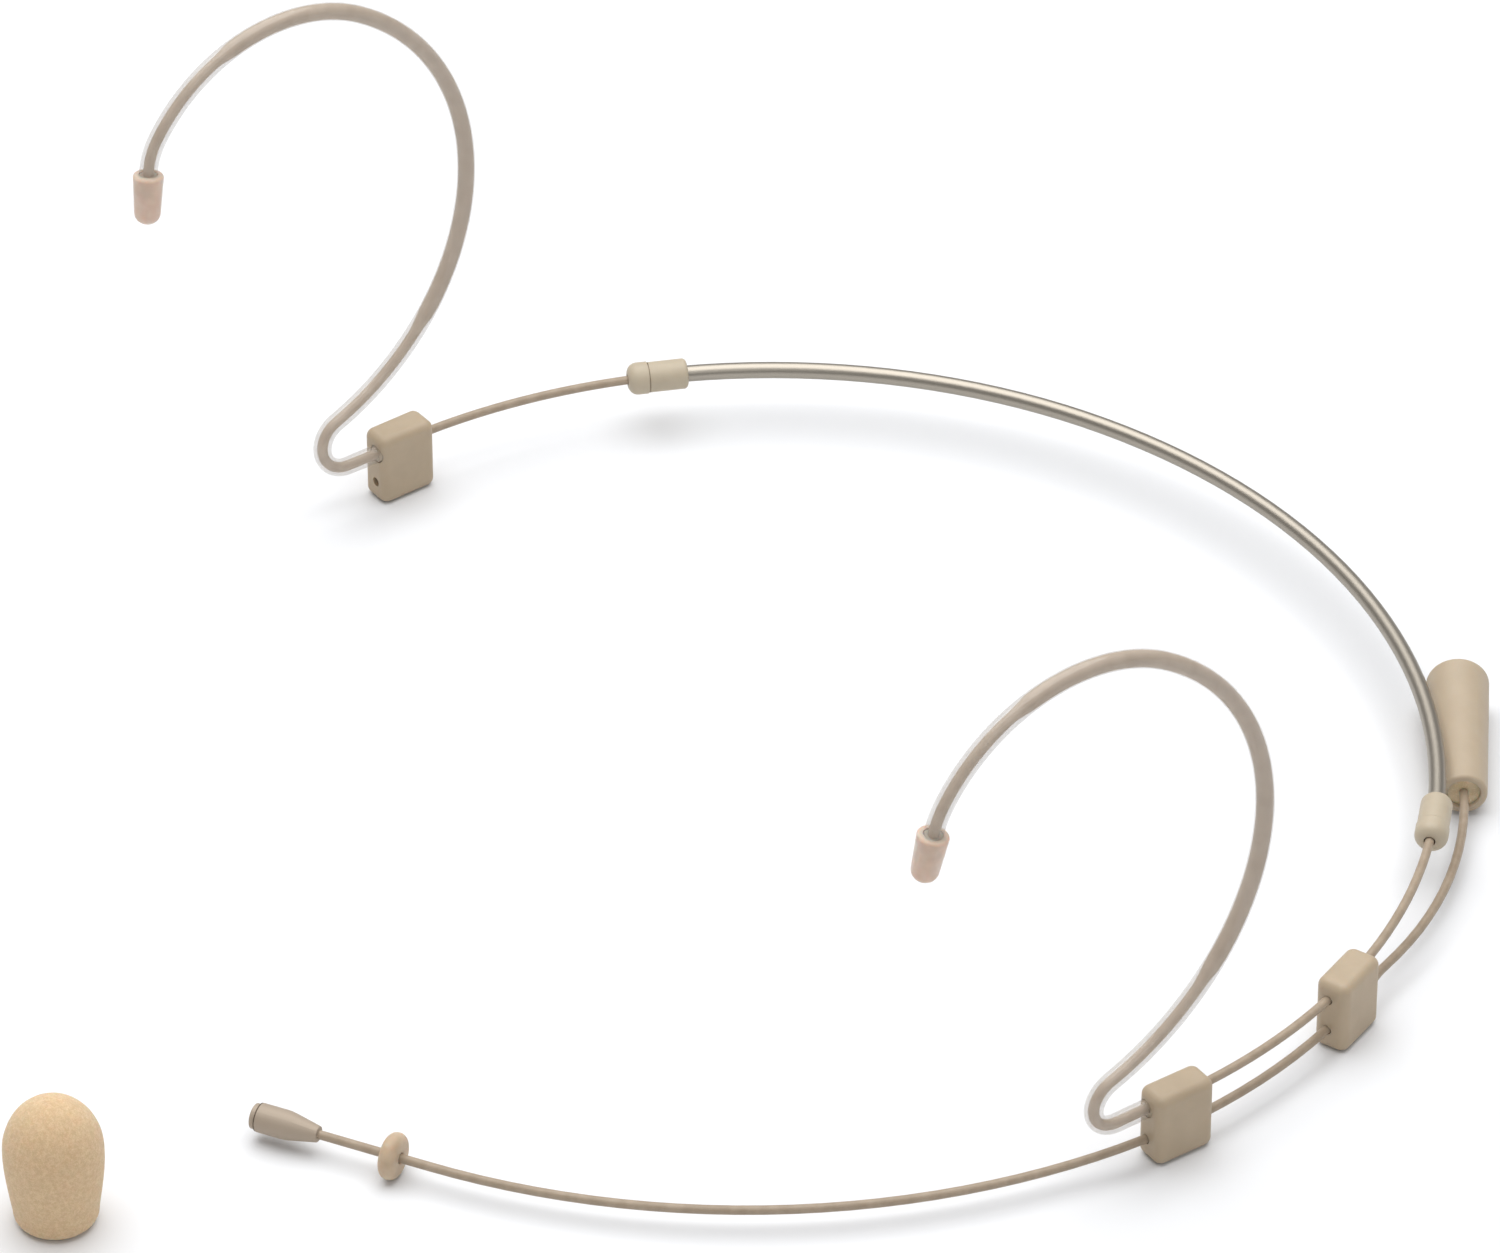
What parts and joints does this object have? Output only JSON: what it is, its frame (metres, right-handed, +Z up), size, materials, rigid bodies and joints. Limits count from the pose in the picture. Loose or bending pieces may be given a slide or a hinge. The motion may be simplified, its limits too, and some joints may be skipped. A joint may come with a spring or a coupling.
{
  "type": "headset microphone",
  "caption": "Thin neckband headset microphone with clear over-ear hooks, a sliding boom with a small capsule and drip ring, a cable socket and a foam windscreen.",
  "frame": {"origin": "middle of the whole model's footprint, on the surface it lies on", "axes": "+Z up, -Y towards the wearer's face, +X towards the wearer's left ear"},
  "size_m": [0.149, 0.1814, 0.0701],
  "materials": {
    "band_metal": "satin stainless tube",
    "moulding": "fine matte moulded nylon",
    "wire_coat": "matte extruded coating",
    "clear_sleeve": "clear glossy soft tube",
    "tip_silicone": "translucent silicone",
    "ring_silicone": "matte silicone",
    "capsule_coat": "satin metallic paint",
    "connector_moulding": "smooth matte moulded plastic",
    "potting": "cured adhesive",
    "socket_metal": "turned and plated",
    "contact_gold": "gold plated",
    "insulator": "moulded insulator",
    "cable_jacket": "thin cable jacket",
    "bush_rubber": "friction bush",
    "screen_metal": "fine woven screen",
    "element_can": "drawn can",
    "circuit_board": "small circuit board",
    "foam": "open-cell foam"
  },
  "bodies": {
    "neckband": {"neckband_tube": "band_metal", "left_gland": "moulding", "right_gland": "moulding", "left_gland_bush": "bush_rubber", "right_gland_bush": "bush_rubber"},
    "left_side": {"left_band_wire": "wire_coat", "left_ear_block": "moulding", "left_hook_core": "wire_coat", "left_hook_sleeve": "clear_sleeve", "left_tip_cap": "tip_silicone"},
    "right_side": {"right_band_wire": "wire_coat", "right_ear_block": "moulding", "right_hook_core": "wire_coat", "right_hook_sleeve": "clear_sleeve", "right_tip_cap": "tip_silicone"},
    "keeper": {"keeper_block": "moulding"},
    "boom": {"boom_tube": "wire_coat", "signal_cable": "cable_jacket", "capsule_housing": "capsule_coat", "capsule_front_cap": "capsule_coat", "capsule_screen": "screen_metal", "mic_element": "element_can", "element_gasket": "bush_rubber", "element_board": "circuit_board", "connector_shell": "connector_moulding", "connector_potting": "potting", "socket_insulator": "insulator", "socket_contact": "contact_gold", "socket_barrel": "socket_metal"},
    "drip_ring": {"drip_ring": "ring_silicone"},
    "windscreen": {"windscreen": "foam"}
  },
  "joints": [
    {"name": "left_reach", "type": "hinge", "parent": "neckband", "child": "left_side", "pos_m": [0.00172, 0.01765, 0.00663], "axis": [0, 0, 1], "range_deg": [-12, 14]},
    {"name": "right_reach", "type": "hinge", "parent": "neckband", "child": "right_side", "pos_m": [-0.00172, 0.01765, 0.00663], "axis": [0, 0, 1], "range_deg": [-19, 12]},
    {"name": "keeper_travel", "type": "hinge", "parent": "left_side", "child": "keeper", "pos_m": [0.00172, 0.01765, 0.00663], "axis": [0, 0, 1], "range_deg": [-15, 0]},
    {"name": "boom_reach", "type": "hinge", "parent": "left_side", "child": "boom", "pos_m": [0.00172, 0.01765, 0.00663], "axis": [0, 0, 1], "range_deg": [-1.5, 4.6]},
    {"name": "ring_travel", "type": "slide", "parent": "boom", "child": "drip_ring", "axis": [-0.8647, -0.5023, 0], "range_m": [-0.0025, 0.007]},
    {"name": "windscreen_lift", "type": "slide", "parent": "neckband", "child": "windscreen", "axis": [0, 0, 1], "range_m": [0, 0.03]}
  ]
}
